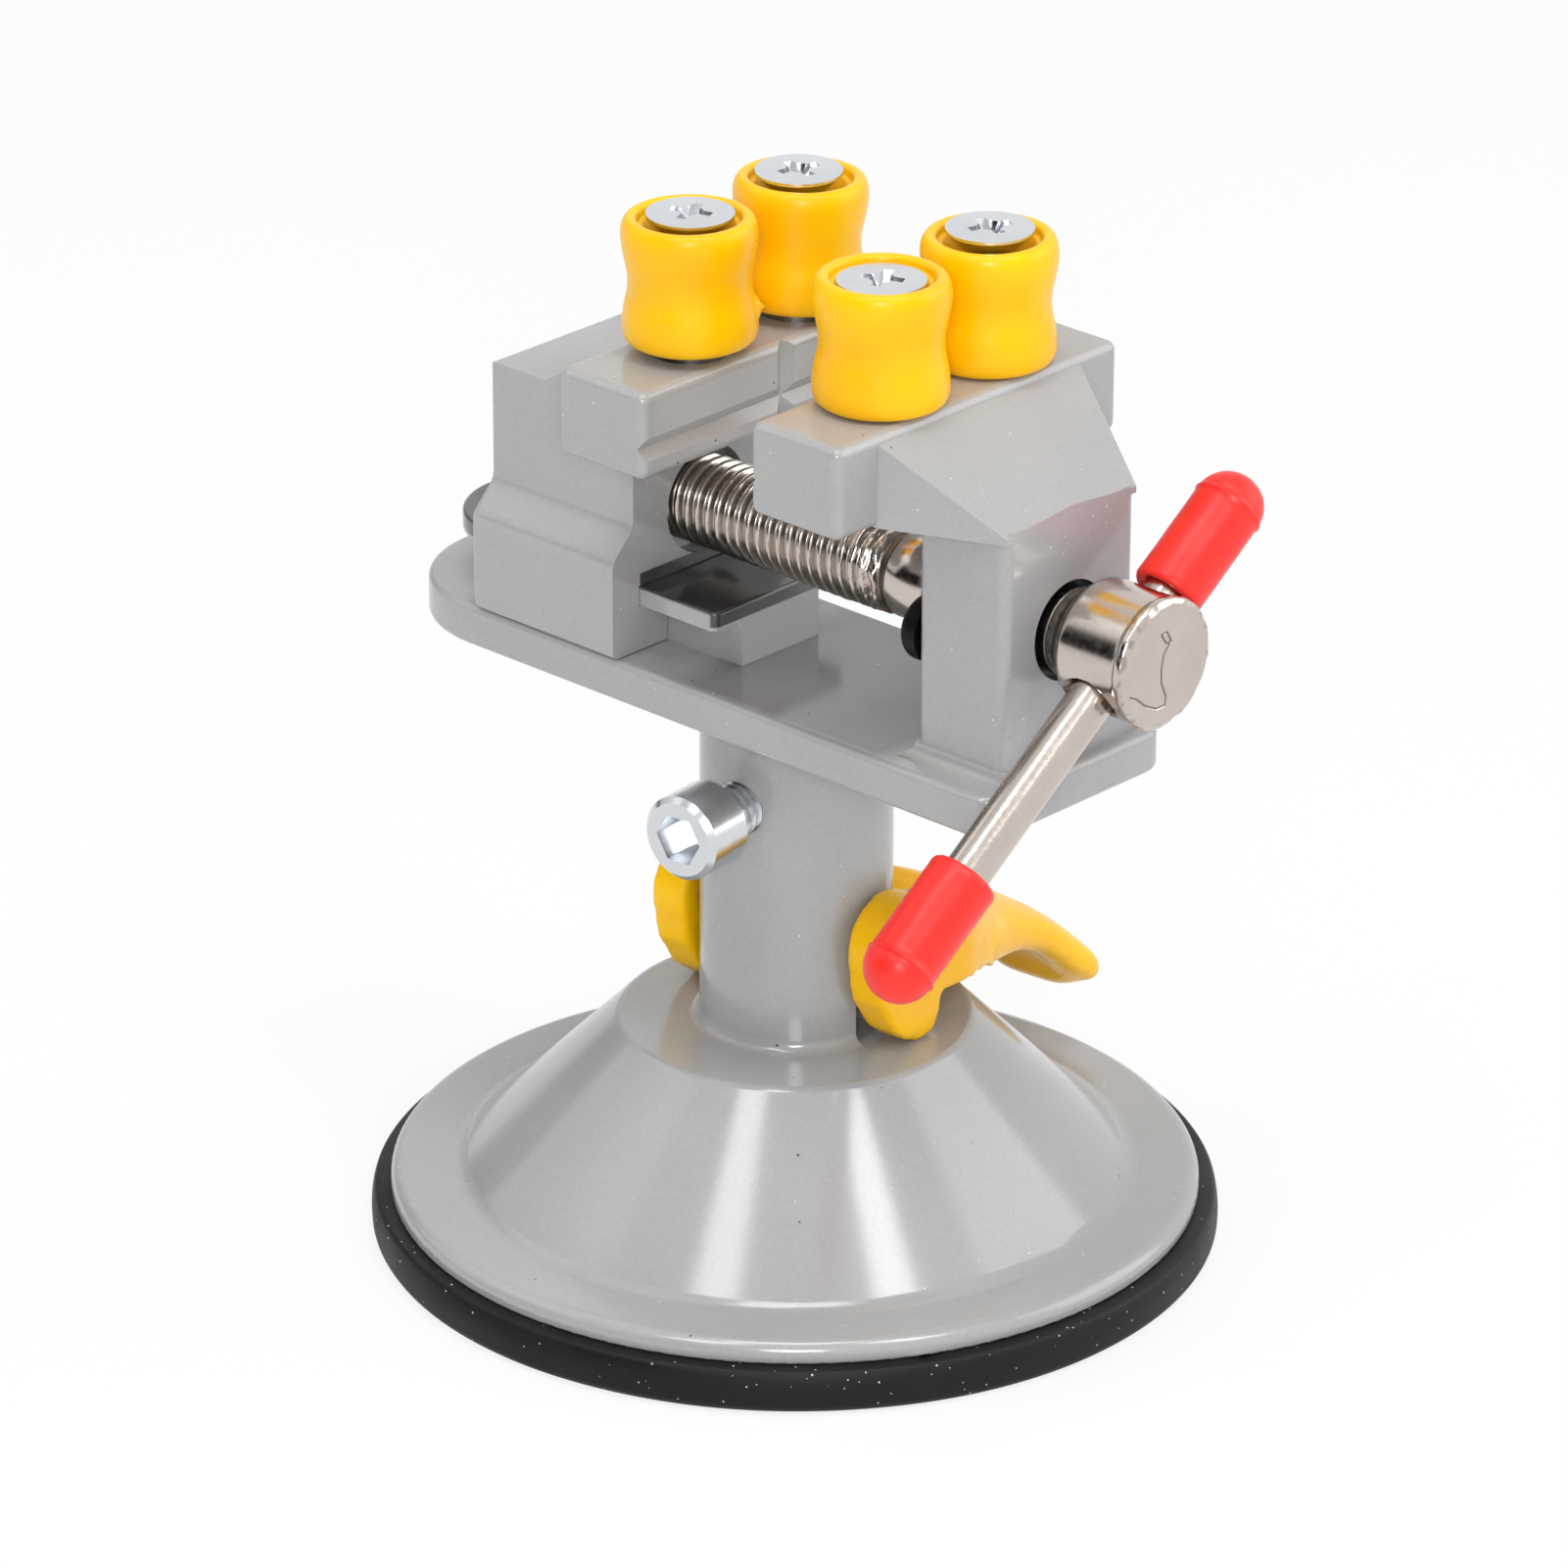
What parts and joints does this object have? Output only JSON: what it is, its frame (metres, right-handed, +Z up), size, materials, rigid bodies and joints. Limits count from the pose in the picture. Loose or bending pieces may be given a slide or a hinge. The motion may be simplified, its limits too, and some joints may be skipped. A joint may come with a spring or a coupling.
{
  "type": "suction base vise",
  "caption": "Small bench vise on a lever-locked suction base, with a swivelling head, a screw-driven sliding jaw and round holding pegs on both jaws.",
  "frame": {"origin": "centre of the suction cup's rim on the table, on the post's axis", "axes": "+Z up along the post, +X along the lead screw towards its T-handle, +Y across the jaws, away from the clamp screw"},
  "size_m": [0.1027, 0.0951, 0.1201],
  "materials": {
    "grey_paint": "satin grey enamel on a die casting",
    "black_rubber": "moulded satin rubber",
    "plain_steel": "turned",
    "nickel_plate": "nickel plated, turned",
    "zinc_plate": "bright zinc plated",
    "black_oxide": "black oxide",
    "yellow_plastic": "moulded, semi-gloss",
    "red_vinyl": "soft dipped vinyl"
  },
  "bodies": {
    "base": {"suction_cup": "black_rubber", "base_cover": "grey_paint"},
    "plunger": {"pull_rod": "plain_steel", "lever_pin": "plain_steel"},
    "lever": {"cam_lever": "yellow_plastic"},
    "clamp": {"clamp_screw": "zinc_plate"},
    "head": {"vise_bed": "grey_paint", "retaining_screw": "black_oxide", "peg_right_front": "yellow_plastic", "peg_right_back": "yellow_plastic", "peg_screw_right_front": "zinc_plate", "peg_screw_right_back": "zinc_plate"},
    "jaw": {"moving_jaw": "grey_paint", "peg_left_front": "yellow_plastic", "peg_left_back": "yellow_plastic", "peg_screw_left_front": "zinc_plate", "peg_screw_left_back": "zinc_plate", "peg_washer_left_front": "zinc_plate", "peg_washer_left_back": "zinc_plate"},
    "screw": {"lead_screw": "nickel_plate"},
    "bar": {"tommy_bar": "nickel_plate", "bar_cap_upper": "red_vinyl", "bar_cap_lower": "red_vinyl"}
  },
  "joints": [
    {"name": "head_swivel", "type": "hinge", "parent": "base", "child": "head", "pos_m": [0, 0, 0.0627], "axis": [0, 0, 1], "continuous": true},
    {"name": "plunger_drop", "type": "slide", "parent": "base", "child": "plunger", "axis": [0, 0, -1], "range_m": [0, 0.0025], "deforming": ["suction_cup"]},
    {"name": "lever_lift", "type": "hinge", "parent": "plunger", "child": "lever", "pos_m": [0, 0, 0.0371], "axis": [0.9945, 0.1045, 0], "range_deg": [0, 70.05]},
    {"name": "clamp_turn", "type": "hinge", "parent": "base", "child": "clamp", "pos_m": [0, 0, 0.0535], "axis": [0.1045, -0.9945, 0], "range_deg": [0, 360]},
    {"name": "jaw_slide", "type": "slide", "parent": "head", "child": "jaw", "axis": [1, 0, 0], "range_m": [-0.01, 0.0126]},
    {"name": "screw_turn", "type": "hinge", "parent": "head", "child": "screw", "pos_m": [0, 0, 0.0823], "axis": [1, 0, 0], "range_deg": [-3030, 2405]},
    {"name": "bar_slide", "type": "slide", "parent": "screw", "child": "bar", "axis": [0, 0.8141, 0.5807], "range_m": [0, 0.0228]}
  ],
  "couplings": [
    {"joint": "lever_lift", "follows": "plunger_drop", "rad_per_m": 488.69},
    {"joint": "screw_turn", "follows": "jaw_slide", "rad_per_m": -4188.8}
  ]
}
